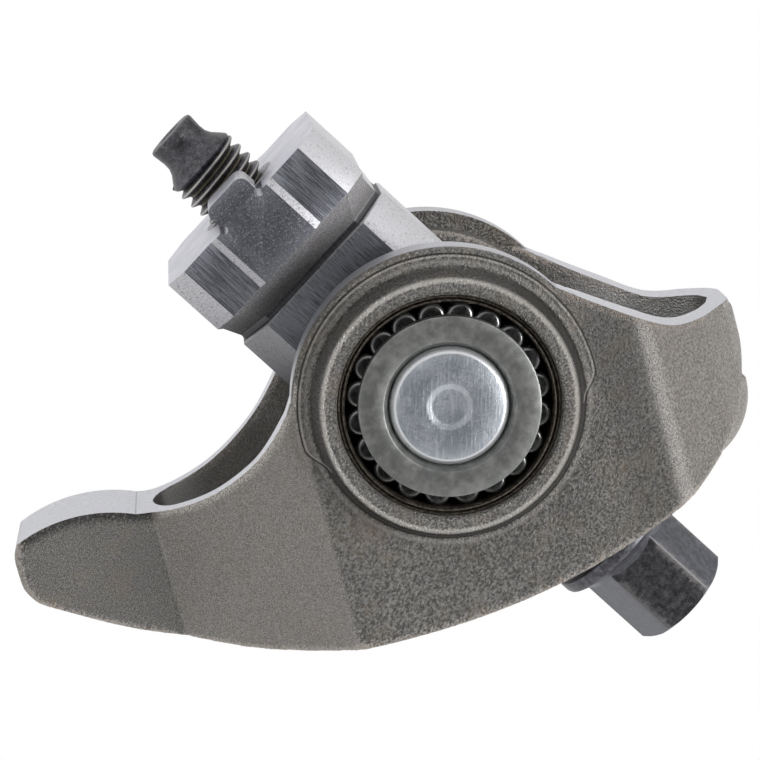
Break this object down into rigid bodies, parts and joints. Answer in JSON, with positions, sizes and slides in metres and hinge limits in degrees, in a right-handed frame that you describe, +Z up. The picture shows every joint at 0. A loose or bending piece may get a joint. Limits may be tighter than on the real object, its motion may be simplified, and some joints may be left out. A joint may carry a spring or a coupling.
{
  "type": "needle-bearing rocker arm with pedestal",
  "caption": "Cast steel rocker arm on a needle-bearing trunnion, with its machined pedestal and a long flanged hex bolt through them.",
  "frame": {"origin": "centre of the pedestal's flat seating face, on the axis of its bolt hole; the locating tab and the end of the bolt reach below it", "axes": "+Z up along the bolt to its head, +Y along the trunnion to the side away from the locating tab, +X towards the arm's valve tip"},
  "size_m": [0.0705, 0.034, 0.0728],
  "materials": {
    "cast_steel": "fine sand-cast grain, warm grey-brown, worn paler on its edges",
    "machined_steel": "milled, fine lines along its height, bright corner cuts",
    "dark_fastener_steel": "dark phosphate coat, thread crests bright",
    "bright_ground_steel": "ground and lightly scratched, bright",
    "satin_hardened_steel": "satin, hardened",
    "drawn_cup_steel": "satin, drawn shell",
    "needle_steel": "ground rollers, dark oiled ends with paler rims"
  },
  "bodies": {
    "stand": {"pedestal": "machined_steel", "trunnion_pin": "bright_ground_steel", "inner_race_near": "satin_hardened_steel", "inner_race_far": "satin_hardened_steel"},
    "rocker": {"rocker_body": "cast_steel", "bearing_cup_near": "drawn_cup_steel", "bearing_cup_far": "drawn_cup_steel"},
    "needles_near": {"needle_near_01": "needle_steel", "needle_near_02": "needle_steel", "needle_near_03": "needle_steel", "needle_near_04": "needle_steel", "needle_near_05": "needle_steel", "needle_near_06": "needle_steel", "needle_near_07": "needle_steel", "needle_near_08": "needle_steel", "needle_near_09": "needle_steel", "needle_near_10": "needle_steel", "needle_near_11": "needle_steel", "needle_near_12": "needle_steel", "needle_near_13": "needle_steel", "needle_near_14": "needle_steel", "needle_near_15": "needle_steel", "needle_near_16": "needle_steel", "needle_near_17": "needle_steel", "needle_near_18": "needle_steel", "needle_near_19": "needle_steel", "needle_near_20": "needle_steel"},
    "needles_far": {"needle_far_01": "needle_steel", "needle_far_02": "needle_steel", "needle_far_03": "needle_steel", "needle_far_04": "needle_steel", "needle_far_05": "needle_steel", "needle_far_06": "needle_steel", "needle_far_07": "needle_steel", "needle_far_08": "needle_steel", "needle_far_09": "needle_steel", "needle_far_10": "needle_steel", "needle_far_11": "needle_steel", "needle_far_12": "needle_steel", "needle_far_13": "needle_steel", "needle_far_14": "needle_steel", "needle_far_15": "needle_steel", "needle_far_16": "needle_steel", "needle_far_17": "needle_steel", "needle_far_18": "needle_steel", "needle_far_19": "needle_steel", "needle_far_20": "needle_steel"},
    "bolt": {"bolt": "dark_fastener_steel"}
  },
  "joints": [
    {"name": "rocker_swing", "type": "hinge", "parent": "stand", "child": "rocker", "pos_m": [0, 0, 0.0273], "axis": [0, -1, 0], "range_deg": [0, 38]},
    {"name": "needle_roll_near", "type": "hinge", "parent": "stand", "child": "needles_near", "pos_m": [0, 0, 0.0273], "axis": [0, -1, 0], "range_deg": [0, 22]},
    {"name": "needle_roll_far", "type": "hinge", "parent": "stand", "child": "needles_far", "pos_m": [0, 0, 0.0273], "axis": [0, -1, 0], "range_deg": [0, 22]},
    {"name": "bolt_slide", "type": "slide", "parent": "stand", "child": "bolt", "axis": [0, 0, 1], "range_m": [-0.0198, 0.0094]}
  ],
  "couplings": [
    {"joint": "needle_roll_near", "follows": "rocker_swing", "ratio": 0.5776},
    {"joint": "needle_roll_far", "follows": "rocker_swing", "ratio": 0.5776}
  ]
}
